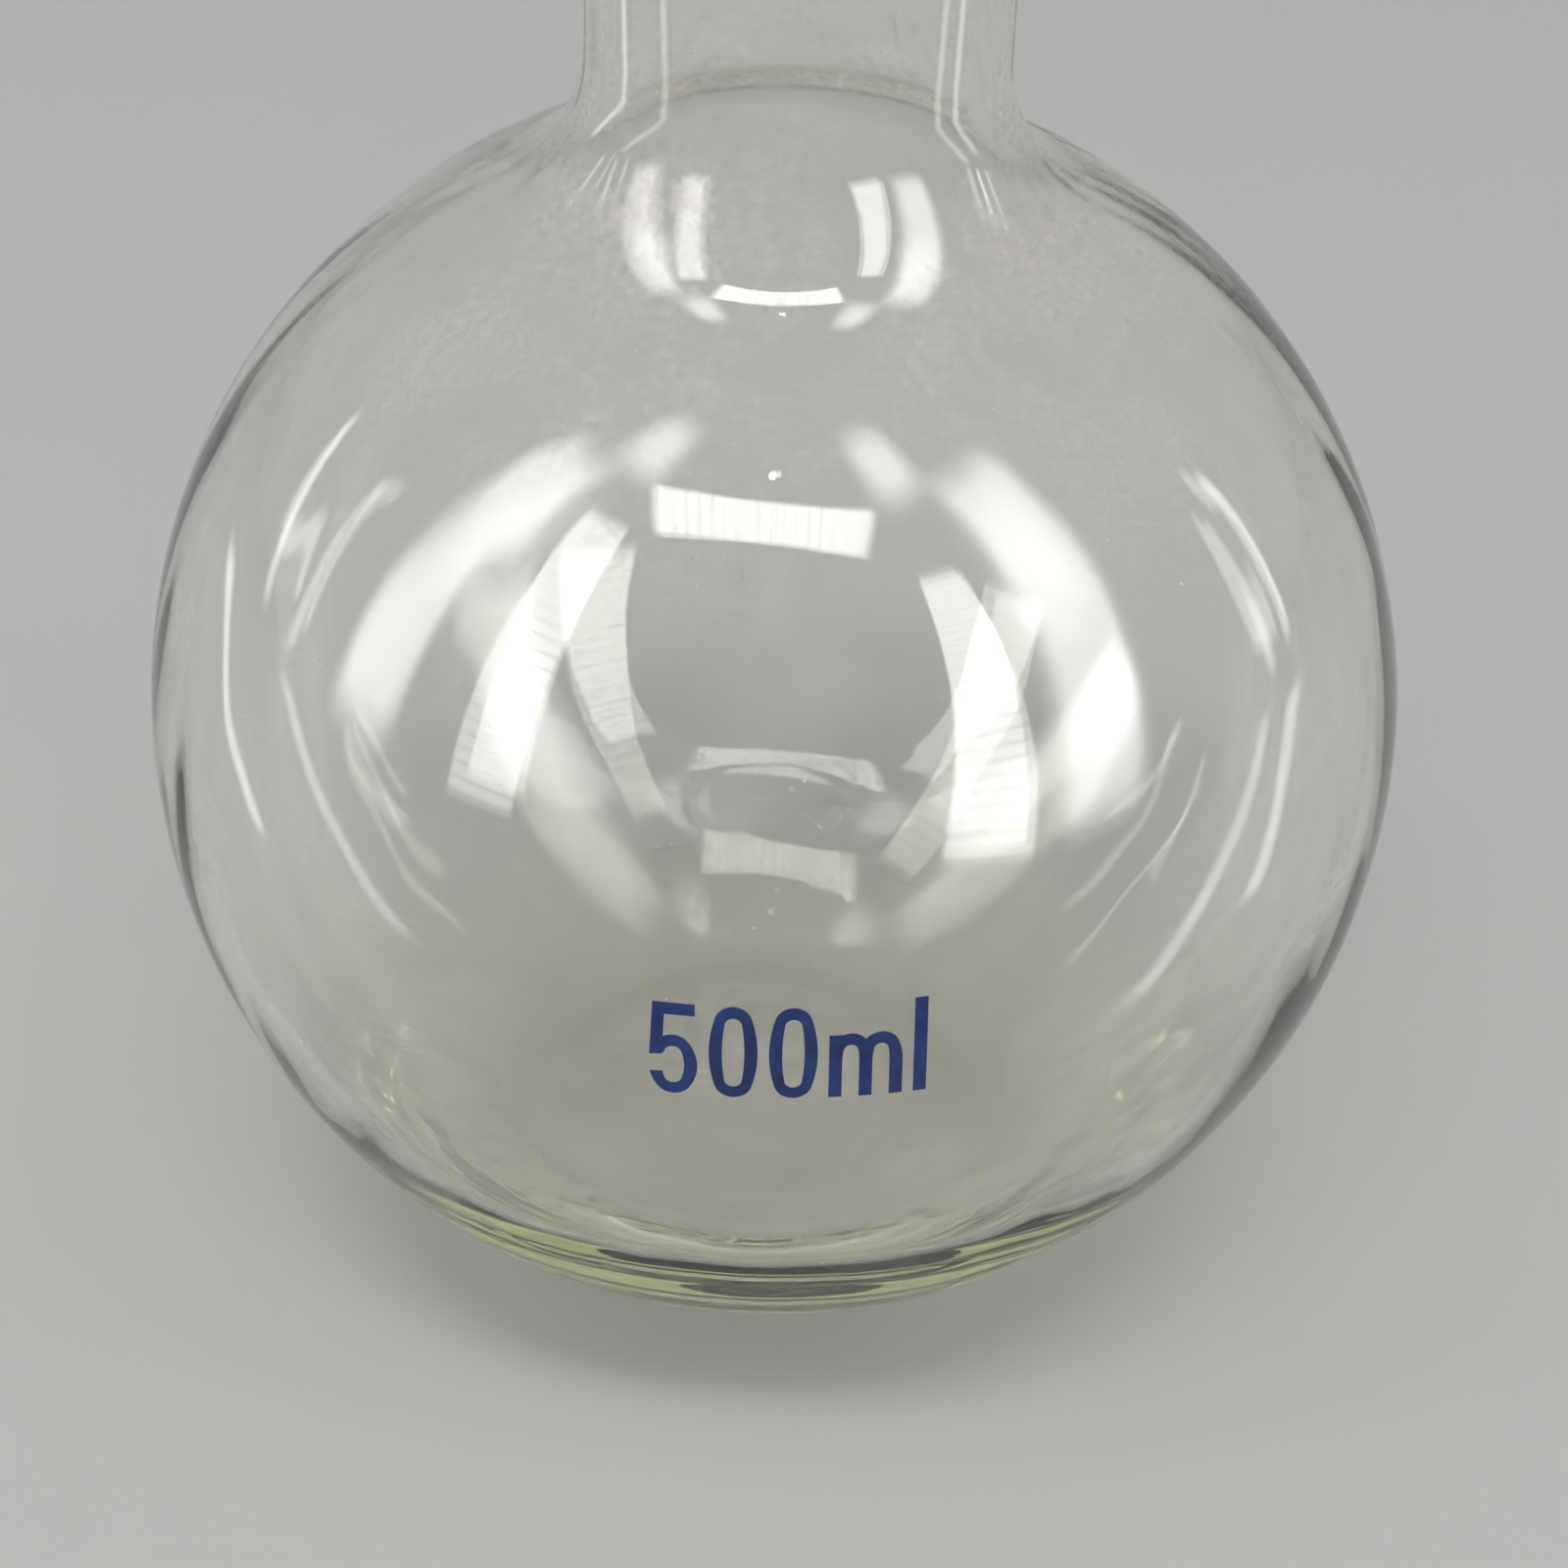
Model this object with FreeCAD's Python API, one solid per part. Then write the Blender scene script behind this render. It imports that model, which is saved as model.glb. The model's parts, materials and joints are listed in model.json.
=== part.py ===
"""Flat-footed round boiling flask, 500 ml, narrow neck with a beaded rim.

Row frame: millimetres, +Z up along the neck, origin at the centre of the resting plane,
-Y is the side that carries the capacity mark.

Glass: a blown bulb with its pressed foot, a neck tube sealed on the bulb's shoulder, and a
fire-polished bead sealed on the neck's end. Print: five enamel characters fired on the bulb.
"""

import FreeCAD, Part
import math
import os

# Bulb and foot
BULB_RADIUS = 52.5
BULB_CENTRE_Z = 47.5          # the foot flattens the sphere 5 mm above its pole
HEEL_RADIUS = 10.0            # round between the foot and the bulb
KICK_RADIUS = 15.0            # edge of the domed middle of the foot, which stays off the bench
KICK_HEIGHT = 1.0

# Inside of the bulb: a smaller sphere set higher, running into a wide bowl, so that the glass
# thickens from the shoulder down to the heel
CAVITY_RADIUS = 50.3
CAVITY_CENTRE_Z = 48.2
BOWL_RADIUS = 38.0            # of the bowl's section, between the sphere and the floor
FLOOR_THICKNESS = 4.6         # glass at the outer edge of the cavity's floor
FLOOR_RISE = 0.4              # how far the floor's middle stands above its edge

# Neck
NECK_RADIUS = 16.75
BORE_RADIUS = 15.0
SHOULDER_FILLET = 15.0        # outside, between bulb and neck
SHOULDER_FILLET_INSIDE = 16.5
NECK_SEAM_Z = 108.0           # ring seal between bulb and neck

# Beaded rim
TOTAL_HEIGHT = 163.0
BEAD_RADIUS = 2.8             # round of the bead's section
BEAD_FILLET = 1.5             # hollow under the bead
MOUTH_ROUND = 1.6             # inner edge of the mouth
RIM_SEAM_Z = 156.0

# Capacity mark: condensed characters fired on the bulb near its equator
ENAMEL_THICKNESS = 0.06
MARK_CENTRE_Z = 49.0
MARK_TILT = 1.2               # degrees that the print is askew, right end high
MARK_STROKE = 1.0
LETTER_GAP = 0.85
DIGIT_HEIGHT = 8.3
DIGIT_WIDTH = 3.7
X_HEIGHT = 5.9
LETTER_M_WIDTH = 5.6
LETTER_L_HEIGHT = 8.6
OVAL_END_RADIUS = 1.45        # of a digit's outline, at its top and bottom


def point(r, z):
    """A point of a meridian outline, in the XZ half plane."""
    return FreeCAD.Vector(r, 0, z)


def on_circle(centre, radius, towards):
    """The point of a circle that lies in the direction of another point."""
    step = FreeCAD.Vector(towards) - FreeCAD.Vector(centre)
    return FreeCAD.Vector(centre) + step * (radius / step.Length)


def line(a, b):
    return Part.LineSegment(a, b).toShape()


def arc(centre, radius, start, end):
    """The shorter arc of a circle between two of its points."""
    middle = on_circle(centre, radius, (start + end) * 0.5)
    return Part.Arc(start, middle, end).toShape()


def dome(centre_z, edge_r, edge_z):
    """An arc from the axis down or up to an edge, square to the axis."""
    rise = centre_z - edge_z
    radius = (edge_r ** 2 + rise ** 2) / (2 * rise)
    half = math.asin(edge_r / abs(radius)) / 2
    middle = point(abs(radius) * math.sin(half), centre_z - radius * (1 - math.cos(half)))
    return Part.Arc(point(0, centre_z), middle, point(edge_r, edge_z)).toShape()


def heel_centre(sphere_radius, sphere_z, floor_z, heel_radius):
    """Centre of the round that touches both a flat floor and the inside of a sphere."""
    z = floor_z + heel_radius
    r = math.sqrt((sphere_radius - heel_radius) ** 2 - (sphere_z - z) ** 2)
    return point(r, z)


def shoulder_centre(sphere_radius, sphere_z, tube_radius, fillet):
    """Centre of the round that touches the outside of a sphere and of a tube on its axis."""
    r = tube_radius + fillet
    return point(r, sphere_z + math.sqrt((sphere_radius + fillet) ** 2 - r ** 2))


def revolve(edges):
    """The solid of revolution of a closed meridian outline."""
    face = Part.Face(Part.Wire(Part.__sortEdges__(edges)))
    return face.revolve(FreeCAD.Vector(0, 0, 0), FreeCAD.Vector(0, 0, 1), 360)


def vessel_side(sphere_radius, sphere_z, heel, heel_radius, shoulder, fillet, tube_radius, top_z):
    """Heel, sphere, shoulder and tube as one smooth run of edges, from the floor up."""
    centre = point(0, sphere_z)
    floor_end = heel - FreeCAD.Vector(0, 0, heel_radius)
    heel_end = on_circle(centre, sphere_radius, heel)
    shoulder_start = on_circle(centre, sphere_radius, shoulder)
    shoulder_end = point(tube_radius, shoulder.z)
    widest = point(sphere_radius, sphere_z)
    return [
        arc(heel, heel_radius, floor_end, heel_end),
        arc(centre, sphere_radius, heel_end, widest),
        arc(centre, sphere_radius, widest, shoulder_start),
        arc(shoulder, fillet, shoulder_start, shoulder_end),
        line(shoulder_end, point(tube_radius, top_z)),
    ]


def make_bulb():
    """Blown bulb with its foot and the root of the neck, up to the ring seal."""
    heel = heel_centre(BULB_RADIUS, BULB_CENTRE_Z, 0, HEEL_RADIUS)
    shoulder = shoulder_centre(BULB_RADIUS, BULB_CENTRE_Z, NECK_RADIUS, SHOULDER_FILLET)
    outside = vessel_side(
        BULB_RADIUS, BULB_CENTRE_Z, heel, HEEL_RADIUS,
        shoulder, SHOULDER_FILLET, NECK_RADIUS, NECK_SEAM_Z,
    )
    foot = [
        dome(KICK_HEIGHT, KICK_RADIUS, 0),
        line(point(KICK_RADIUS, 0), point(heel.x, 0)),
    ]

    bowl = heel_centre(CAVITY_RADIUS, CAVITY_CENTRE_Z, FLOOR_THICKNESS, BOWL_RADIUS)
    cavity_shoulder = shoulder_centre(
        CAVITY_RADIUS, CAVITY_CENTRE_Z, BORE_RADIUS, SHOULDER_FILLET_INSIDE
    )
    inside = vessel_side(
        CAVITY_RADIUS, CAVITY_CENTRE_Z, bowl, BOWL_RADIUS,
        cavity_shoulder, SHOULDER_FILLET_INSIDE, BORE_RADIUS, NECK_SEAM_Z,
    )
    floor_top = FLOOR_THICKNESS + FLOOR_RISE
    floor = dome(floor_top, bowl.x, FLOOR_THICKNESS)
    seal = line(point(BORE_RADIUS, NECK_SEAM_Z), point(NECK_RADIUS, NECK_SEAM_Z))
    axis = line(point(0, KICK_HEIGHT), point(0, floor_top))
    return revolve(foot + outside + [seal] + inside + [floor, axis])


def make_neck():
    """Plain tube between the two seals."""
    height = RIM_SEAM_Z - NECK_SEAM_Z
    foot = FreeCAD.Vector(0, 0, NECK_SEAM_Z)
    return Part.makeCylinder(NECK_RADIUS, height, foot).cut(
        Part.makeCylinder(BORE_RADIUS, height, foot)
    )


def make_rim():
    """Rounded reinforcing bead around the mouth."""
    mouth = point(BORE_RADIUS + MOUTH_ROUND, TOTAL_HEIGHT - MOUTH_ROUND)
    bead = point(mouth.x, TOTAL_HEIGHT - BEAD_RADIUS)
    hollow_r = NECK_RADIUS + BEAD_FILLET
    drop = math.sqrt((BEAD_RADIUS + BEAD_FILLET) ** 2 - (hollow_r - bead.x) ** 2)
    hollow = point(hollow_r, bead.z - drop)
    hollow_start = point(NECK_RADIUS, hollow.z)
    bead_start = on_circle(bead, BEAD_RADIUS, hollow)
    bead_side = point(bead.x + BEAD_RADIUS, bead.z)
    bead_top = point(bead.x, TOTAL_HEIGHT)
    mouth_side = point(BORE_RADIUS, mouth.z)
    return revolve([
        line(point(BORE_RADIUS, RIM_SEAM_Z), point(NECK_RADIUS, RIM_SEAM_Z)),
        line(point(NECK_RADIUS, RIM_SEAM_Z), hollow_start),
        arc(hollow, BEAD_FILLET, hollow_start, bead_start),
        arc(bead, BEAD_RADIUS, bead_start, bead_side),
        arc(bead, BEAD_RADIUS, bead_side, bead_top),
        arc(mouth, MOUTH_ROUND, bead_top, mouth_side),
        line(mouth_side, point(BORE_RADIUS, RIM_SEAM_Z)),
    ])


def prism(edges):
    """A flat outline, drawn in X and Z, pushed through the front of the bulb."""
    face = Part.Face(Part.Wire(Part.__sortEdges__(edges)))
    face.translate(FreeCAD.Vector(0, -BULB_RADIUS - 1, 0))
    return face.extrude(FreeCAD.Vector(0, BULB_RADIUS / 2, 0))


def bar(x0, z0, x1, z1):
    """An upright rectangle."""
    corners = [point(x0, z0), point(x1, z0), point(x1, z1), point(x0, z1)]
    return polygon(corners)


def polygon(corners):
    return prism([line(a, b) for a, b in zip(corners, corners[1:] + corners[:1])])


def oval(centre_x, centre_z, half_width, half_height, end_radius):
    """An upright oval of four arcs: two small ends and two long sides."""
    reach = half_height - end_radius
    side = (half_width ** 2 + reach ** 2 - end_radius ** 2) / (2 * (half_width - end_radius))
    edges = []
    for up in (1, -1):
        end = point(centre_x, centre_z + up * reach)
        joints = [
            on_circle(end, end_radius, end * 2 - point(centre_x + s * (half_width - side), centre_z))
            for s in (1, -1)
        ]
        tip = point(centre_x, centre_z + up * half_height)
        edges.append(Part.Arc(joints[0], tip, joints[1]).toShape())
    for s in (1, -1):
        widest = point(centre_x + s * half_width, centre_z)
        upper, lower = (
            on_circle(
                point(centre_x, centre_z + up * reach), end_radius,
                point(centre_x, centre_z + up * reach) * 2
                - point(centre_x + s * (half_width - side), centre_z),
            )
            for up in (1, -1)
        )
        edges.append(Part.Arc(upper, widest, lower).toShape())
    return prism(edges)


def ring(centre_x, centre_z, half_width, half_height, end_radius):
    """An oval stroke."""
    inner_width = half_width - MARK_STROKE
    inner_height = half_height - MARK_STROKE
    inner_end = end_radius * inner_width / half_width
    return oval(centre_x, centre_z, half_width, half_height, end_radius).cut(
        oval(centre_x, centre_z, inner_width, inner_height, inner_end)
    )


def digit_zero(x, z):
    """A zero that stands on z and starts at x."""
    half = DIGIT_WIDTH / 2
    return ring(x + half, z + DIGIT_HEIGHT / 2, half, DIGIT_HEIGHT / 2, OVAL_END_RADIUS)


def digit_five(x, z):
    """A five: flat flag, short stem and open bowl."""
    top = z + DIGIT_HEIGHT
    s = MARK_STROKE
    bowl_half = DIGIT_WIDTH / 2
    bowl_height = 0.33 * DIGIT_HEIGHT
    bowl_z = z + bowl_height
    stem_foot = bowl_z + 0.9 * s
    bowl = ring(x + bowl_half, bowl_z, bowl_half, bowl_height, OVAL_END_RADIUS)
    opening = polygon([
        point(x - s, bowl_z - 0.9 * s), point(x + 1.1 * s, bowl_z - 0.7 * s),
        point(x + 1.5 * s, bowl_z + 0.2 * s), point(x + 1.1 * s, bowl_z + 1.1 * s),
        point(x + 0.9 * s, stem_foot), point(x - s, stem_foot),
    ])
    stem = polygon([
        point(x + 0.05 * s, stem_foot - 0.1 * s), point(x + s, stem_foot + 0.1 * s),
        point(x + 1.25 * s, top), point(x + 0.3 * s, top),
    ])
    flag = bar(x + 0.3 * s, top - s, x + DIGIT_WIDTH - 0.2 * s, top)
    return bowl.cut(opening).fuse([stem, flag])


def letter_m(x, z):
    """A lower-case m: three stems under two arches."""
    s = MARK_STROKE
    pitch = (LETTER_M_WIDTH - s) / 2
    half = (pitch + s) / 2
    arch_z = z + X_HEIGHT - 1.6 * half
    below = bar(x - s, z - s, x + LETTER_M_WIDTH + s, arch_z)
    first = bar(x, z, x + s, z + X_HEIGHT - 0.1 * s)
    others = [bar(x + i * pitch, z, x + i * pitch + s, arch_z) for i in (1, 2)]
    arches = [
        ring(x + i * pitch + half, arch_z, half, 1.6 * half, 0.86 * half).cut(below)
        for i in (0, 1)
    ]
    return first.fuse(others + arches)


def letter_l(x, z):
    """A lower-case l: one plain stem."""
    return bar(x, z, x + MARK_STROKE, z + LETTER_L_HEIGHT)


def make_mark():
    """The five characters, as films of enamel that follow the bulb's outside."""
    centre = FreeCAD.Vector(0, 0, BULB_CENTRE_Z)
    film = Part.makeSphere(BULB_RADIUS + ENAMEL_THICKNESS, centre).cut(
        Part.makeSphere(BULB_RADIUS, centre)
    )
    order = [
        ("mark_digit_5", digit_five, DIGIT_WIDTH),
        ("mark_digit_0_left", digit_zero, DIGIT_WIDTH),
        ("mark_digit_0_right", digit_zero, DIGIT_WIDTH),
        ("mark_letter_m", letter_m, LETTER_M_WIDTH),
        ("mark_letter_l", letter_l, MARK_STROKE),
    ]
    width = sum(w for _, _, w in order) + LETTER_GAP * (len(order) - 1)
    x = -width / 2
    base_z = MARK_CENTRE_Z - DIGIT_HEIGHT / 2
    made = {}
    for name, draw, w in order:
        drawn = draw(x, base_z)
        drawn.rotate(FreeCAD.Vector(0, 0, MARK_CENTRE_Z), FreeCAD.Vector(0, -1, 0), MARK_TILT)
        made[name] = drawn.common(film)
        x += w + LETTER_GAP
    return made


def export(name, shape):
    """Writes one node and prints what it is."""
    solids = shape.Solids
    whole = solids[0] if len(solids) == 1 else Part.makeCompound(solids)
    whole.exportStep(os.path.join("parts", name + ".step"))
    print(f"{name}: {len(solids)} solid(s), {whole.Volume:.2f} mm3, valid {whole.isValid()}")


def main():
    os.makedirs("parts", exist_ok=True)
    export("bulb", make_bulb())
    export("neck", make_neck())
    export("rim", make_rim())
    for name, shape in make_mark().items():
        export(name, shape)


main()
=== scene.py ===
"""Looks for the 500 ml boiling flask: one fused glass body, fired enamel mark, studio.

Metres, in the CAD frame: +Z up along the neck, the mark on the -Y side.
"""

import json
import math

import bpy
import numpy as np
from mathutils import Matrix, Vector, noise


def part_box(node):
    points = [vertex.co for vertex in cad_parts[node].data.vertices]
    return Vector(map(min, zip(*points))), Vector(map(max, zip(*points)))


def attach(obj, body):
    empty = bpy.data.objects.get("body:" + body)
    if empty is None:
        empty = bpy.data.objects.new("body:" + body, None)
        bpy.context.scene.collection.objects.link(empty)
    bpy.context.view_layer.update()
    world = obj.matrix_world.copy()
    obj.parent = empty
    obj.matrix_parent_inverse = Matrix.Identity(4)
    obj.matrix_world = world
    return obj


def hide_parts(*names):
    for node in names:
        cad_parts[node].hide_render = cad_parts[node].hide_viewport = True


MM = 0.001

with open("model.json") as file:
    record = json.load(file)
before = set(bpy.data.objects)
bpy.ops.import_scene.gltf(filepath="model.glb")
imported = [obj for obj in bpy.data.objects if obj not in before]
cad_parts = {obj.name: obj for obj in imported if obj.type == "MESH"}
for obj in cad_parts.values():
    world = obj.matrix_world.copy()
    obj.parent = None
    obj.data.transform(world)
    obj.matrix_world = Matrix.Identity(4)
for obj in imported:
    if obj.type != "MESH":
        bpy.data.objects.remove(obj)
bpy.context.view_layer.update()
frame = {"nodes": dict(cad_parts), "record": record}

# ---------------------------------------------------------------- sizes from the CAD frame
bulb_low, bulb_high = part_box("bulb")
neck_low, neck_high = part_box("neck")
rim_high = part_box("rim")[1]
mouth = next(m for m in frame["record"]["mounts"] if m["name"] == "mouth_bore")

BULB_R = (bulb_high.x - bulb_low.x) / 2
FOOT_CUT = 5.0 * MM                       # how much of the sphere the foot takes off
BULB_Z = bulb_low.z + BULB_R - FOOT_CUT
NECK_R = (neck_high.x - neck_low.x) / 2
BORE_R = mouth["dims"]["r_mm"] * MM
TOP_Z = rim_high.z
BEAD_R = 2.8 * MM
BEAD_HOLLOW = 1.5 * MM                    # radius of the hollow under the bead
MOUTH_ROUND = 1.6 * MM
HEEL_R = 10.0 * MM                        # between the bulb and the foot's flat face
KICK_R = 15.0 * MM                        # the raised middle of the foot
KICK_H = 1.0 * MM
SHOULDER = 15.0 * MM                      # radius between bulb and neck, outside
SHOULDER_IN = 16.5 * MM                   # and inside
CAVITY_R = 50.3 * MM
CAVITY_Z = BULB_Z + 0.7 * MM
BOWL_R = 38.0 * MM                        # the cavity's rounding down to its floor
FLOOR_Z = 4.6 * MM
FLOOR_RISE = 0.4 * MM
BEAD_STEP = 0.3 * MM                      # along the small arcs of the rim
HOLLOW_STEP = 0.25 * MM
BOWL_STEP = 0.7 * MM

SEGMENTS = 240                            # round the axis
STEP = 1.05 * MM                          # along the meridian
TUBE_STEP = 2.4 * MM                      # along straight runs
SAME_POINT = 0.005 * MM                   # outline points nearer than this are one

# unevenness of the wall, in mm: the inner face's waves, the outer face's, and a lump
INNER_BROAD = 0.16
INNER_STREAK = 0.05
INNER_THREAD = 0.08                       # at the two sides only
OUTER_BROAD = 0.03
OUTER_WAVE = 0.16                         # at the two sides only
KNOT_HIGH = 0.15
KNOT_AT = Vector((0, 34.6 * MM, 11.6 * MM))  # the lump, low on the back wall
KNOT_WIDE = 3.8 * MM
KNOT_TALL = 1.6 * MM
TRUE_FOOT = 6 * MM                        # the unevenness grows from the foot over this height,
TRUE_AXIS = 6 * MM                        # from the axis over this radius,
TRUE_RIM = 8 * MM                         # and dies out this far below the mouth


# ---------------------------------------------------------------- meridian outline
def arc(centre, radius, start, end, step=STEP):
    """Points of an arc, angles in radians from +r towards +z, both ends included."""
    count = max(3, math.ceil(abs(end - start) * radius / step))
    return [
        (
            centre[0] + radius * math.cos(start + (end - start) * i / count),
            centre[1] + radius * math.sin(start + (end - start) * i / count),
        )
        for i in range(count + 1)
    ]


def straight(a, b):
    count = max(1, math.ceil(math.dist(a, b) / TUBE_STEP))
    return [
        (a[0] + (b[0] - a[0]) * i / count, a[1] + (b[1] - a[1]) * i / count)
        for i in range(count + 1)
    ]


def angle(centre, towards):
    return math.atan2(towards[1] - centre[1], towards[0] - centre[0])


def joined(*runs):
    """One outline from several runs, without the doubled points where they meet."""
    points = [p for run in runs for p in run]
    out = [points[0]]
    for p in points[1:]:
        if math.dist(p, out[-1]) > SAME_POINT:
            out.append(p)
    return out


def outside_outline():
    """From the middle of the kick, up the outside, to the top of the bead."""
    dome_r = (KICK_R ** 2 + KICK_H ** 2) / (2 * KICK_H)
    half = math.asin(KICK_R / dome_r)
    kick = arc((0, KICK_H - dome_r), dome_r, math.pi / 2, math.pi / 2 - half)
    heel_z = HEEL_R
    heel = (math.sqrt((BULB_R - HEEL_R) ** 2 - (BULB_Z - heel_z) ** 2), heel_z)
    bulb = (0, BULB_Z)
    low = angle(bulb, heel)
    tube = NECK_R + SHOULDER
    root = (tube, BULB_Z + math.sqrt((BULB_R + SHOULDER) ** 2 - tube ** 2))
    high = angle(bulb, root)
    bead = (BORE_R + MOUTH_ROUND, TOP_Z - BEAD_R)
    hollow_r = NECK_R + BEAD_HOLLOW
    drop = math.sqrt((BEAD_R + BEAD_HOLLOW) ** 2 - (hollow_r - bead[0]) ** 2)
    hollow = (hollow_r, bead[1] - drop)
    return joined(
        kick,
        straight((KICK_R, 0), (heel[0], 0)),
        arc(heel, HEEL_R, -math.pi / 2, low),
        arc(bulb, BULB_R, low, high),
        arc(root, SHOULDER, math.pi + high, math.pi),
        straight((NECK_R, root[1]), (NECK_R, hollow[1])),
        arc(hollow, BEAD_HOLLOW, math.pi, angle(hollow, bead), HOLLOW_STEP),
        arc(bead, BEAD_R, angle(bead, hollow), math.pi / 2, BEAD_STEP),
    )


def inside_outline():
    """From the mouth's round edge, down the bore, to the middle of the floor."""
    edge = (BORE_R + MOUTH_ROUND, TOP_Z - MOUTH_ROUND)
    cavity = (0, CAVITY_Z)
    tube = BORE_R + SHOULDER_IN
    root = (tube, CAVITY_Z + math.sqrt((CAVITY_R + SHOULDER_IN) ** 2 - tube ** 2))
    high = angle(cavity, root)
    bowl_z = FLOOR_Z + BOWL_R
    bowl = (math.sqrt((CAVITY_R - BOWL_R) ** 2 - (CAVITY_Z - bowl_z) ** 2), bowl_z)
    low = angle(cavity, bowl)
    dome_r = (bowl[0] ** 2 + FLOOR_RISE ** 2) / (2 * FLOOR_RISE)
    half = math.asin(bowl[0] / dome_r)
    top = FLOOR_Z + FLOOR_RISE
    return joined(
        arc(edge, MOUTH_ROUND, math.pi / 2, math.pi, BEAD_STEP),
        straight((BORE_R, edge[1]), (BORE_R, root[1])),
        arc(root, SHOULDER_IN, math.pi, math.pi + high),
        arc(cavity, CAVITY_R, high, low),
        arc(bowl, BOWL_R, low, -math.pi / 2, BOWL_STEP),
        arc((0, top - dome_r), dome_r, math.pi / 2 - half, math.pi / 2),
    )


# ---------------------------------------------------------------- hand-blown unevenness
def ripple(point, around, along, seed):
    """Smooth noise in -1..1 whose features are so long round the axis and along it."""
    azimuth = math.atan2(point.y, point.x)
    ring = BULB_R / around
    return noise.noise(
        Vector((
            ring * math.cos(azimuth) + seed,
            ring * math.sin(azimuth) - seed,
            point.z / along + 2 * seed,
        ))
    )


def swell(point):
    """1 round the middle of the bulb, falling to 0 at its foot and on the neck."""
    return max(0.0, 1.0 - abs((point.z - BULB_Z) / BULB_R) ** 3)


def sideways(point):
    """1 at the two sides of the flask, 0 at its front and back."""
    return abs(point.x) / max(1e-6, math.hypot(point.x, point.y))


def inner_wall(point):
    """How far the inner face stands off its true form, in metres, into the cavity."""
    broad = ripple(point, 26 * MM, 40 * MM, 3.1)
    streak = ripple(point, 8 * MM, 30 * MM, 11.7)
    thread = ripple(point, 5 * MM, 18 * MM, 23.4) * sideways(point)
    uneven = INNER_BROAD * broad + INNER_STREAK * streak + INNER_THREAD * thread
    uneven *= 0.25 + 0.75 * swell(point)
    across, back, rise = point - KNOT_AT
    knot = math.exp(-((across / KNOT_WIDE) ** 2) - (back ** 2 + rise ** 2) / KNOT_TALL ** 2)
    return (uneven + KNOT_HIGH * knot) * MM


def outer_wall(point):
    """How far the outer face lies inside its true form, in metres."""
    broad = ripple(point, 22 * MM, 30 * MM, 5.9)
    wave = ripple(point, 7 * MM, 11 * MM, 17.3)
    flank = swell(point) * sideways(point) ** 2
    uneven = (0.5 + 0.5 * broad) * OUTER_BROAD + (0.5 + 0.5 * wave) * OUTER_WAVE * flank
    return uneven * MM


def normals_of(profile):
    """Unit normals of an outline, pointing out of the glass."""
    points = np.array(profile)
    run = np.gradient(points, axis=0)
    normal = np.stack([run[:, 1], -run[:, 0]], axis=1)
    return normal / np.linalg.norm(normal, axis=1, keepdims=True)


def glass_mesh():
    """The whole flask as one closed skin, turned round the axis from its two outlines."""
    outer = outside_outline()
    inner = inside_outline()
    verts = []
    rings = []
    for profile, wall, sign in ((outer, outer_wall, -1), (inner, inner_wall, 1)):
        for (r, z), (nr, nz) in zip(profile, normals_of(profile)):
            if rings and profile is inner and (r, z) == inner[0]:
                continue
            if r < SAME_POINT:
                rings.append([len(verts)])
                verts.append((0, 0, z))
                continue
            ring = []
            share = max(0.0, min(1.0, z / TRUE_FOOT, (TOP_Z - z) / TRUE_RIM, r / TRUE_AXIS))
            for k in range(SEGMENTS):
                turn = 2 * math.pi * k / SEGMENTS
                x, y = r * math.cos(turn), r * math.sin(turn)
                off = sign * wall(Vector((x, y, z))) * share
                ring.append(len(verts))
                verts.append((
                    x + off * nr * math.cos(turn),
                    y + off * nr * math.sin(turn),
                    z + off * nz,
                ))
            rings.append(ring)
    faces = []
    for a, b in zip(rings, rings[1:]):
        for k in range(SEGMENTS):
            n = (k + 1) % SEGMENTS
            if len(a) == 1:
                faces.append((a[0], b[n], b[k]))
            elif len(b) == 1:
                faces.append((a[k], a[n], b[0]))
            else:
                faces.append((a[k], a[n], b[n], b[k]))
    mesh = bpy.data.meshes.new("flask_glass")
    mesh.from_pydata(verts, [], faces)
    mesh.validate()
    mesh.polygons.foreach_set("use_smooth", [True] * len(mesh.polygons))
    mesh.update()
    return mesh


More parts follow.
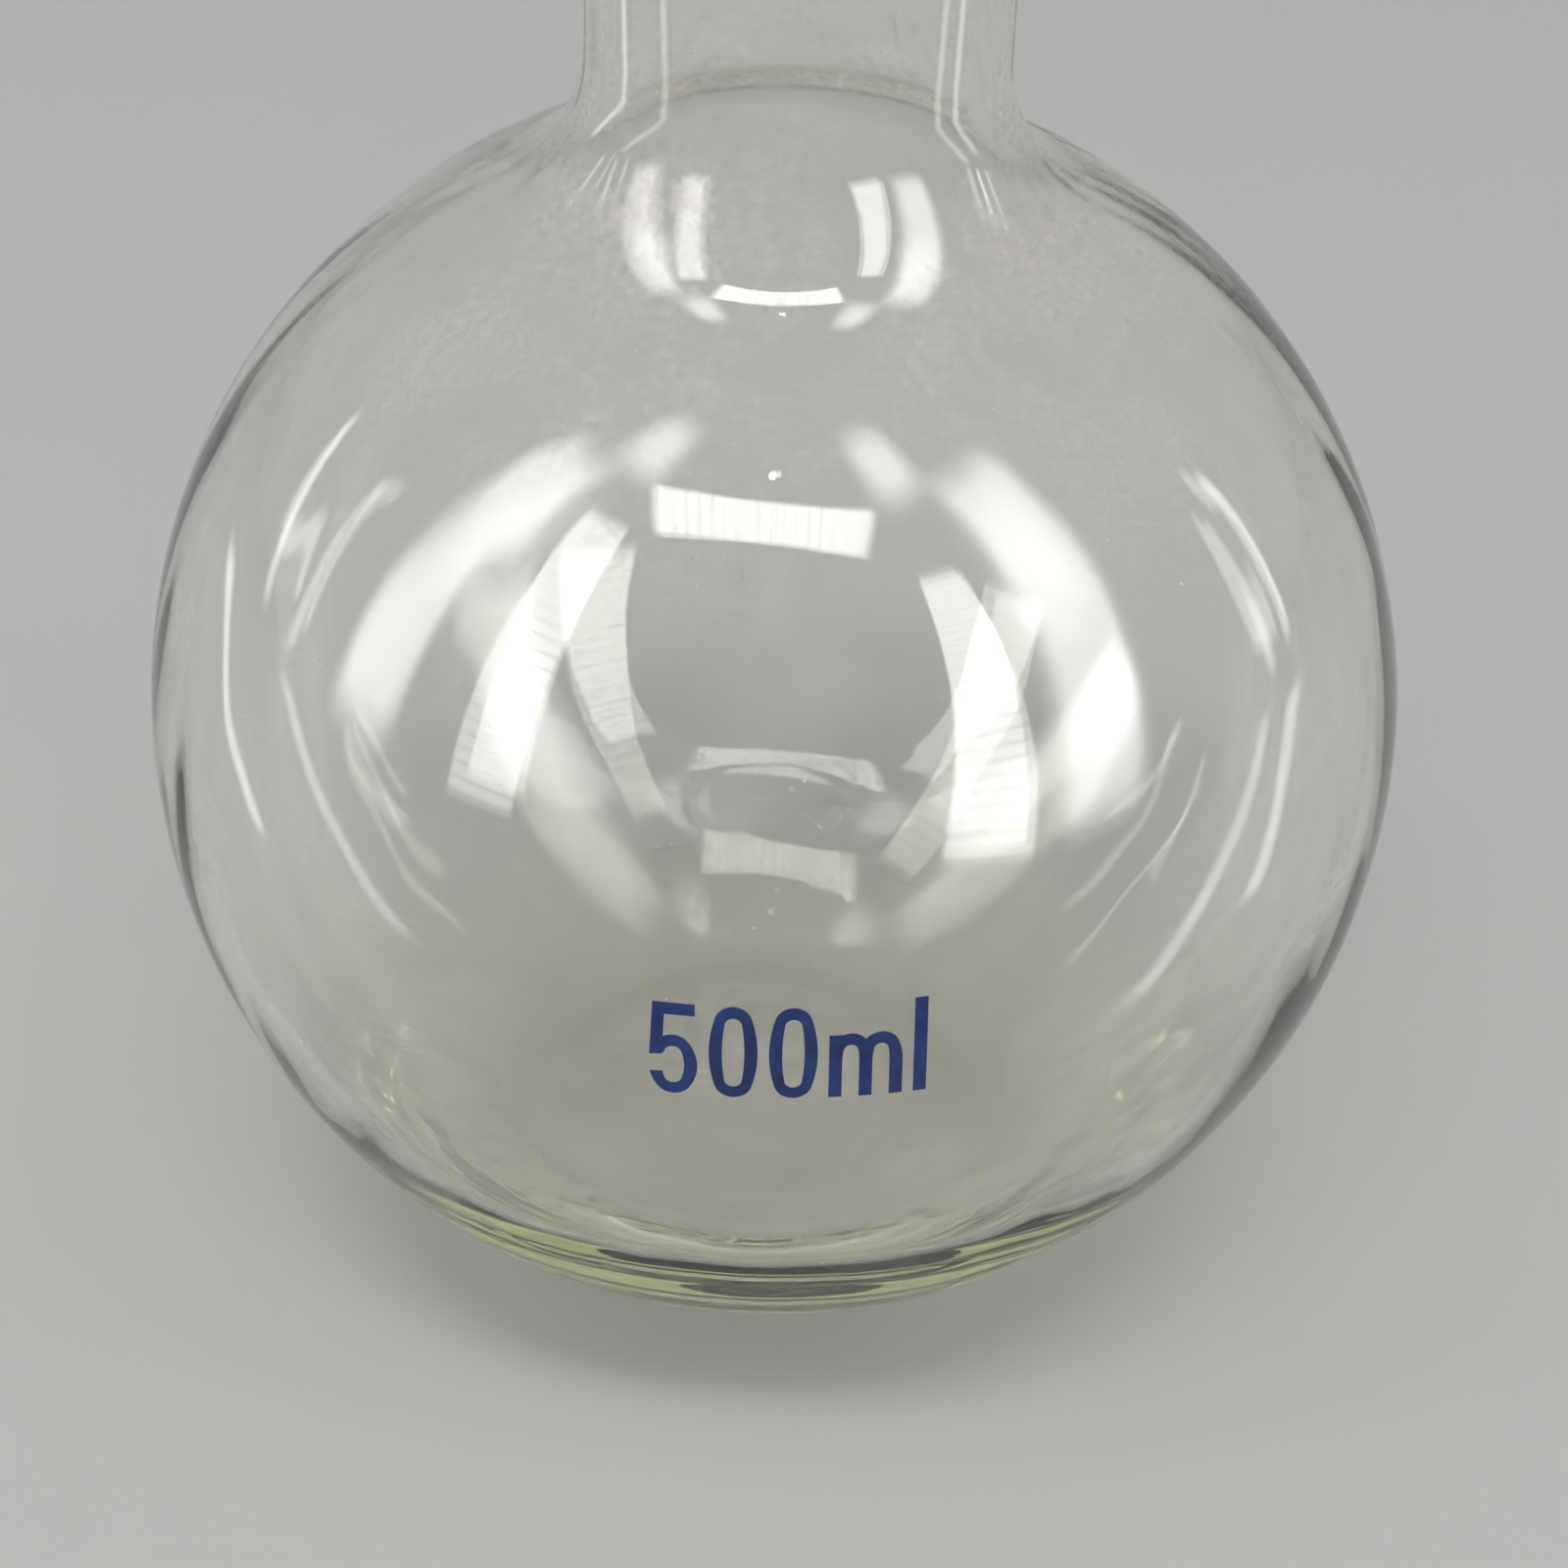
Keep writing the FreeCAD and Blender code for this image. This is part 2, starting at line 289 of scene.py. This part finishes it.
# ---------------------------------------------------------------- node helpers
class Nodes:
    """Short hand for a material's node tree."""

    def __init__(self, name):
        self.material = bpy.data.materials.new(name)
        self.material.use_nodes = True
        self.tree = self.material.node_tree
        self.tree.nodes.clear()
        self.output = self.tree.nodes.new("ShaderNodeOutputMaterial")
        self.shader = self.tree.nodes.new("ShaderNodeBsdfPrincipled")
        self.tree.links.new(self.shader.outputs[0], self.output.inputs["Surface"])
        self.coords = self.tree.nodes.new("ShaderNodeTexCoord").outputs["Object"]

    def set(self, **values):
        """Values on the shader's own sockets; an underscore stands for a space."""
        for name, value in values.items():
            self.shader.inputs[name.replace("_", " ")].default_value = value

    def feed(self, socket, source):
        self.tree.links.new(source, self.shader.inputs[socket])

    def node(self, kind, inputs=(), **settings):
        made = self.tree.nodes.new(kind)
        for name, value in settings.items():
            setattr(made, name, value)
        for name, value in dict(inputs).items():
            if isinstance(value, bpy.types.NodeSocket):
                self.tree.links.new(value, made.inputs[name])
            else:
                made.inputs[name].default_value = value
        return made

    def stretched(self, x, y, z):
        """Object coordinates scaled per axis."""
        return self.node(
            "ShaderNodeMapping", {"Vector": self.coords, "Scale": (x, y, z)}
        ).outputs[0]

    def noise(self, scale, detail=3.0, rough=0.5, vector=None, warp=0.0):
        return self.node(
            "ShaderNodeTexNoise",
            {
                "Vector": vector or self.coords, "Scale": scale, "Detail": detail,
                "Roughness": rough, "Distortion": warp,
            },
        ).outputs["Fac"]

    def ramp(self, value, low, high, out_low=0.0, out_high=1.0):
        return self.node(
            "ShaderNodeMapRange",
            {
                "Value": value, "From Min": low, "From Max": high,
                "To Min": out_low, "To Max": out_high,
            },
            interpolation_type="SMOOTHSTEP",
        ).outputs[0]

    def math(self, operation, a, b=0.0):
        return self.node("ShaderNodeMath", {0: a, 1: b}, operation=operation).outputs[0]

    def mix(self, factor, a, b):
        """Colour a to b; the node's colour sockets are numbers 6 and 7, and its result 2."""
        made = self.tree.nodes.new("ShaderNodeMix")
        made.data_type = "RGBA"
        for index, value in ((0, factor), (6, a), (7, b)):
            if isinstance(value, bpy.types.NodeSocket):
                self.tree.links.new(value, made.inputs[index])
            else:
                made.inputs[index].default_value = value
        return made.outputs[2]

    def specks(self, cell, radius, share):
        """Small dots: one in `share` of the cells of that size has one, in metres."""
        cells = self.node(
            "ShaderNodeTexVoronoi",
            {"Vector": self.coords, "Scale": 1 / cell, "Randomness": 1.0},
            feature="F1",
        )
        near = self.ramp(cells.outputs["Distance"], radius / cell, 0.5 * radius / cell)
        pick = self.node(
            "ShaderNodeSeparateColor", {"Color": cells.outputs["Color"]}
        ).outputs[0]
        chosen = self.math("LESS_THAN", pick, share)
        return self.math("MULTIPLY", near, chosen)


GLASS_IOR = 1.473                         # borosilicate
DEPTH_TINT = (0.87, 0.93, 0.38, 1)
DEPTH_DENSITY = 14.0                      # per metre
CLEAR = (0.99, 0.99, 0.985, 1)
DUST = (0.90, 0.855, 0.82, 1)
GRAIN = (0.88, 0.85, 0.80, 1)
DUST_COVER = 0.30                         # the most that each hides of the glass
HAZE_COVER = 0.06
SCRATCH_COVER = 0.12
SMEAR_ROUGHNESS = 0.055


def glass_material():
    """Clear glass, a little green in its depth, with settled dust, wipe marks and scratches."""
    n = Nodes("flask_glass")
    n.set(IOR=GLASS_IOR)
    absorb = n.node(
        "ShaderNodeVolumeAbsorption", {"Color": DEPTH_TINT, "Density": DEPTH_DENSITY}
    )
    n.tree.links.new(absorb.outputs[0], n.output.inputs["Volume"])

    height = n.node("ShaderNodeSeparateXYZ", {0: n.coords}).outputs[2]
    shoulder = n.math(
        "MULTIPLY",
        n.ramp(height, BULB_Z + 0.45 * BULB_R, BULB_Z + 0.95 * BULB_R),
        n.ramp(height, neck_low.z + 12 * MM, neck_low.z - 6 * MM),
    )
    cloud = n.ramp(n.noise(60, 3.0, 0.68, warp=0.8), 0.42, 0.74)
    powder = n.ramp(n.noise(1100, 1.0), 0.3, 0.7)
    dirt = n.math("MULTIPLY", n.math("MULTIPLY", shoulder, cloud), powder)
    haze = n.ramp(n.noise(55, 3.0, 0.6, warp=0.6), 0.52, 0.78, 0.0, HAZE_COVER)
    grains = n.math(
        "MAXIMUM",
        n.math("MULTIPLY", n.specks(3.2 * MM, 0.14 * MM, 0.22), 0.9),
        n.math("MULTIPLY", n.specks(1.3 * MM, 0.07 * MM, 0.3), 0.7),
    )
    lines = n.noise(1.0, 2.0, 0.4, n.stretched(60, 60, 2600))
    patch = n.ramp(n.noise(42, 1.0), 0.54, 0.62)
    scratch = n.math("MULTIPLY", n.ramp(lines, 0.715, 0.76), patch)
    scratch = n.math("MULTIPLY", scratch, SCRATCH_COVER)
    film = n.math("MAXIMUM", haze, n.math("MULTIPLY", dirt, DUST_COVER))
    cover = n.math("MAXIMUM", n.math("MAXIMUM", film, grains), scratch)

    n.feed("Transmission Weight", n.math("SUBTRACT", 1.0, cover))
    n.feed("Base Color", n.mix(grains, n.mix(dirt, CLEAR, DUST), GRAIN))
    wiped = n.noise(38, 2.0, 0.55, n.stretched(1, 1, 0.45))
    smear = n.ramp(wiped, 0.50, 0.78, 0.0, SMEAR_ROUGHNESS)
    n.feed("Roughness", n.math("MAXIMUM", smear, n.math("MULTIPLY", cover, 0.9)))
    return n.material


ENAMEL_IOR = 1.5
INK_DEEP = (0.002, 0.016, 0.115, 1)
INK_THIN = (0.006, 0.042, 0.225, 1)
INK_WORN = (0.06, 0.11, 0.22, 1)


def enamel_material():
    """Fired blue enamel: uneven ink with small worn spots, slightly glossy."""
    n = Nodes("blue_enamel")
    n.set(IOR=ENAMEL_IOR)
    cloud = n.noise(420, 4.0, 0.6)
    broad = n.noise(130, 2.0)
    tone = n.math("ADD", n.math("MULTIPLY", cloud, 0.5), n.math("MULTIPLY", broad, 0.5))
    pins = n.specks(0.55 * MM, 0.07 * MM, 0.3)
    ink = n.mix(n.ramp(tone, 0.36, 0.64), INK_DEEP, INK_THIN)
    n.feed("Base Color", n.mix(n.math("MULTIPLY", pins, 0.35), ink, INK_WORN))
    n.feed("Roughness", n.ramp(cloud, 0.3, 0.7, 0.28, 0.5))
    bump = n.node("ShaderNodeBump", {"Height": cloud, "Strength": 0.25, "Distance": 0.02 * MM})
    n.feed("Normal", bump.outputs[0])
    return n.material


# ---------------------------------------------------------------- the flask
glass = bpy.data.objects.new("glass_body", glass_mesh())
bpy.context.scene.collection.objects.link(glass)
glass.data.materials.append(glass_material())
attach(glass, "root")
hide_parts("bulb", "neck", "rim")

enamel = enamel_material()
for name, node in frame["nodes"].items():
    if name.startswith("mark_"):
        for slot in node.material_slots:
            slot.material = enamel

# ---------------------------------------------------------------- studio
CENTRE = Vector((0, 0, BULB_Z))
STUDIO_R = 1.05                           # distance of the panels
PANEL_CELLS = 10                          # a panel is this many cells wide and high
LAID_GAP = 1.0 * MM                       # height of the laid panels above the foot's plane
LIGHT_COLOUR = (1.0, 0.985, 0.975, 1)


def direction(azimuth, elevation):
    """Unit vector from the bulb; azimuth 0 is -Y and grows towards +X, in degrees."""
    a, e = math.radians(azimuth), math.radians(elevation)
    return Vector((math.sin(a) * math.cos(e), -math.cos(a) * math.cos(e), math.sin(e)))


def light_material(name, strength, soft, ribs):
    """An even light; `soft` is the share of its width and height over which it fades.

    `ribs` is the axis across which thin darker ribs repeat, and their number.
    """
    material = bpy.data.materials.new(name)
    material.use_nodes = True
    tree = material.node_tree
    tree.nodes.clear()

    def node(kind, inputs, **settings):
        made = tree.nodes.new(kind)
        for key, value in settings.items():
            setattr(made, key, value)
        for key, value in inputs.items():
            if isinstance(value, bpy.types.NodeSocket):
                tree.links.new(value, made.inputs[key])
            else:
                made.inputs[key].default_value = value
        return made

    place = node("ShaderNodeUVMap", {}, uv_map="panel").outputs[0]
    split = node("ShaderNodeSeparateXYZ", {0: place})
    level = strength
    for axis in (0, 1):
        value = split.outputs[axis]
        for start, stop in ((0.0, soft[axis]), (1.0, 1.0 - soft[axis])):
            fade = node(
                "ShaderNodeMapRange",
                {
                    "Value": value, "From Min": start, "From Max": stop,
                    "To Min": 0.0, "To Max": 1.0,
                },
                interpolation_type="SMOOTHSTEP",
            ).outputs[0]
            level = node("ShaderNodeMath", {0: fade, 1: level}, operation="MULTIPLY").outputs[0]
    if ribs:
        turn = node(
            "ShaderNodeMath", {0: split.outputs[ribs[0]], 1: ribs[1] * 2 * math.pi},
            operation="MULTIPLY",
        ).outputs[0]
        wave = node("ShaderNodeMath", {0: turn}, operation="SINE").outputs[0]
        dim = node(
            "ShaderNodeMapRange",
            {"Value": wave, "From Min": -1.0, "From Max": -0.7, "To Min": 0.6, "To Max": 1.0},
        ).outputs[0]
        level = node("ShaderNodeMath", {0: dim, 1: level}, operation="MULTIPLY").outputs[0]
    emit = node("ShaderNodeEmission", {"Color": LIGHT_COLOUR, "Strength": level})
    clear = node("ShaderNodeBsdfTransparent", {})
    both = node("ShaderNodeAddShader", {0: clear.outputs[0], 1: emit.outputs[0]})
    node("ShaderNodeOutputMaterial", {"Surface": both.outputs[0]})
    return material


def panel(
    name, corners, strength, soft=(0.06, 0.06), bow=(0, 0), ribs=None, flagged=False, laid=False,
):
    """A diffusing panel on the studio's sphere, between four (azimuth, elevation) corners.

    The corners run round from the lower left one; `bow` is how far its middle swings
    sideways and how far it is raised, in degrees. A `flagged` one does not light the floor.
    A `laid` one lies on the floor in the same directions: it gives no shadow there, and
    it is seen only as a reflection.
    """
    cells = PANEL_CELLS
    verts = []
    uvs = []
    for i in range(cells + 1):
        for j in range(cells + 1):
            s, t = i / cells, j / cells
            low = [corners[0][k] * (1 - s) + corners[1][k] * s for k in (0, 1)]
            top = [corners[3][k] * (1 - s) + corners[2][k] * s for k in (0, 1)]
            azimuth, elevation = (low[k] * (1 - t) + top[k] * t for k in (0, 1))
            azimuth += bow[0] * 4 * t * (1 - t)
            elevation += bow[1] * 4 * s * (1 - s)
            ray = direction(azimuth, elevation)
            reach = (LAID_GAP - BULB_Z) / ray.z if laid else STUDIO_R
            verts.append(CENTRE + ray * reach)
            uvs.append((s, t))
    row = cells + 1
    faces = [
        (i * row + j, (i + 1) * row + j, (i + 1) * row + j + 1, i * row + j + 1)
        for i in range(cells)
        for j in range(cells)
    ]
    mesh = bpy.data.meshes.new(name)
    mesh.from_pydata(verts, [], faces)
    layer = mesh.uv_layers.new(name="panel")
    for loop in mesh.loops:
        layer.data[loop.index].uv = uvs[loop.vertex_index]
    mesh.materials.append(light_material(name, strength, soft, ribs))
    made = bpy.data.objects.new(name, mesh)
    bpy.context.scene.collection.objects.link(made)
    made.visible_camera = False
    made.visible_diffuse = not flagged
    made.visible_shadow = not laid
    made.visible_transmission = not laid


def strip(name, foot, head, laid=False):
    """A narrow soft panel whose middle runs from one (azimuth, elevation) to another."""
    half = (LAID_WIDTH if laid else STRIP_WIDTH) / 2
    ends = ((foot, -half), (foot, half), (head, half), (head, -half))
    corners = [(azimuth + shift, elevation) for (azimuth, elevation), shift in ends]
    panel(name, corners, STRIP, STRIP_FADE, flagged=True, laid=laid)


KEY = 9.0                                 # strengths
SIDE_KEY = 7.0
GLOW = 5.6
GLOW_HIGH = 0.45 * GLOW
STRIP = 3.6
LAMP = 40.0
STRIP_WIDTH = 3.6                         # degrees
LAID_WIDTH = 6.5
STRIP_FADE = (0.42, 0.12)
FADE = (0.42, 0.42)
LONG_FADE = (0.28, 0.14)
panel(
    "light_top", [(-40, 53.6), (24.5, 53.2), (33, 61), (-51.5, 61)], KEY,
    bow=(0, 4.3), ribs=(0, 18),
)
panel(
    "light_left", [(-59, 0), (-46, 1), (-46.5, 54), (-60.5, 52.5)], SIDE_KEY,
    ribs=(1, 22), flagged=True,
)
panel(
    "light_right", [(25.5, 0), (42.5, -3), (45.5, 48), (33.5, 49)], SIDE_KEY,
    bow=(2.5, 0), ribs=(1, 22), flagged=True,
)
panel("lamp", [(-8.6, 69.4), (-5.6, 69.4), (-5.4, 70.6), (-8.8, 70.6)], LAMP)
panel(
    "glow_left", [(-87, -4), (-71, -4), (-59, 62), (-85, 60)], GLOW, LONG_FADE,
    bow=(-3, 0), flagged=True,
)
panel("glow_left_high", [(-88, 20), (-62, 22), (-50, 62), (-76, 60)], GLOW_HIGH, FADE)
panel(
    "glow_right", [(45, -5), (64, -5), (79, 62), (49, 64)], GLOW, LONG_FADE,
    bow=(4, 0), flagged=True,
)
panel("glow_right_high", [(48, 22), (76, 26), (74, 58), (46, 60)], GLOW_HIGH, FADE)
strip("strip_left_1", (-107, -2), (-118, 20))
strip("strip_left_2", (-98.5, -2), (-100.5, 27))
strip("strip_right_1", (103.5, -2), (107, 24))
strip("strip_right_2", (98, -2), (100.5, 21))
strip("laid_left_1", (-54, -18), (-98, -2.7), laid=True)
strip("laid_left_2", (-85, -18), (-123, -4), laid=True)
strip("laid_right_1", (49.5, -22.6), (94, -2.7), laid=True)
strip("laid_right_2", (74, -18.5), (101, -4), laid=True)
panel("glow_top_left", [(-76, 57), (-44, 57), (-40, 76), (-74, 76)], GLOW, FADE)
panel("glow_top_right", [(28, 57), (58, 57), (60, 78), (26, 78)], GLOW, FADE)

FLOOR_DARK = (0.630, 0.624, 0.612, 1)
FLOOR_LIGHT = (0.670, 0.664, 0.652, 1)
FLOOR_GAP = 0.1 * MM                      # keeps the foot's face and the floor apart
FLOOR_HALF = 4.0
FLOOR_ROUGHNESS = 0.85


def floor_material():
    n = Nodes("studio_floor")
    n.set(Roughness=FLOOR_ROUGHNESS, Specular_IOR_Level=0.0)
    grain = n.noise(900, 3.0, 0.6)
    cloud = n.noise(3.0, 2.0)
    n.feed("Base Color", n.mix(
        n.math("ADD", n.math("MULTIPLY", grain, 0.3), n.math("MULTIPLY", cloud, 0.7)),
        FLOOR_DARK, FLOOR_LIGHT,
    ))
    return n.material


floor_mesh = bpy.data.meshes.new("studio_floor")
floor_mesh.from_pydata(
    [
        (x * FLOOR_HALF, y * FLOOR_HALF, bulb_low.z - FLOOR_GAP)
        for x, y in ((-1, -1), (1, -1), (1, 1), (-1, 1))
    ],
    [], [(0, 1, 2, 3)],
)
floor_mesh.materials.append(floor_material())
floor = bpy.data.objects.new("studio_floor", floor_mesh)
bpy.context.scene.collection.objects.link(floor)

WORLD_COLOUR = (0.97, 0.985, 1.0, 1)
WORLD_STRENGTH = 0.42
world = bpy.data.worlds.new("studio_world")
bpy.context.scene.world = world
world.use_nodes = True
background = world.node_tree.nodes["Background"]
background.inputs["Color"].default_value = WORLD_COLOUR
background.inputs["Strength"].default_value = WORLD_STRENGTH

# ---------------------------------------------------------------- camera
CAMERA_DISTANCE = 0.40
CAMERA_AZIMUTH = -2.3                     # degrees, as all the angles here
CAMERA_ELEVATION = 33.0
CAMERA_ROLL = 2.2
OFF_CENTRE_YAW = 0.12                     # the bulb's centre is this far left of the axis
OFF_CENTRE_PITCH = 1.12                   # and this far above it
LENS = 108.26                             # mm, with a sensor SENSOR mm wide
SENSOR = 36
CLIP_START = 0.01
MANY_BOUNCES = 24                         # light passes many faces of glass

to_camera = direction(CAMERA_AZIMUTH, CAMERA_ELEVATION)
right = (-to_camera).cross(Vector((0, 0, 1))).normalized()
up = right.cross(-to_camera)
turn = Matrix((right, up, to_camera)).transposed()
turn = turn @ Matrix.Rotation(math.radians(CAMERA_ROLL), 3, "Z")
aim = Vector((
    -math.tan(math.radians(OFF_CENTRE_YAW)), math.tan(math.radians(OFF_CENTRE_PITCH)), -1
)).normalized()
turn = turn @ aim.rotation_difference(Vector((0, 0, -1))).to_matrix()
camera_data = bpy.data.cameras.new("camera")
camera_data.sensor_width = SENSOR
camera_data.lens = LENS
camera_data.clip_start = CLIP_START
camera = bpy.data.objects.new("camera", camera_data)
camera.matrix_world = Matrix.Translation(CENTRE + to_camera * CAMERA_DISTANCE) @ turn.to_4x4()
bpy.context.scene.collection.objects.link(camera)
bpy.context.scene.camera = camera

scene = bpy.context.scene
scene.view_settings.view_transform = "Standard"
scene.cycles.max_bounces = MANY_BOUNCES
scene.cycles.transmission_bounces = MANY_BOUNCES
scene.cycles.glossy_bounces = MANY_BOUNCES // 2
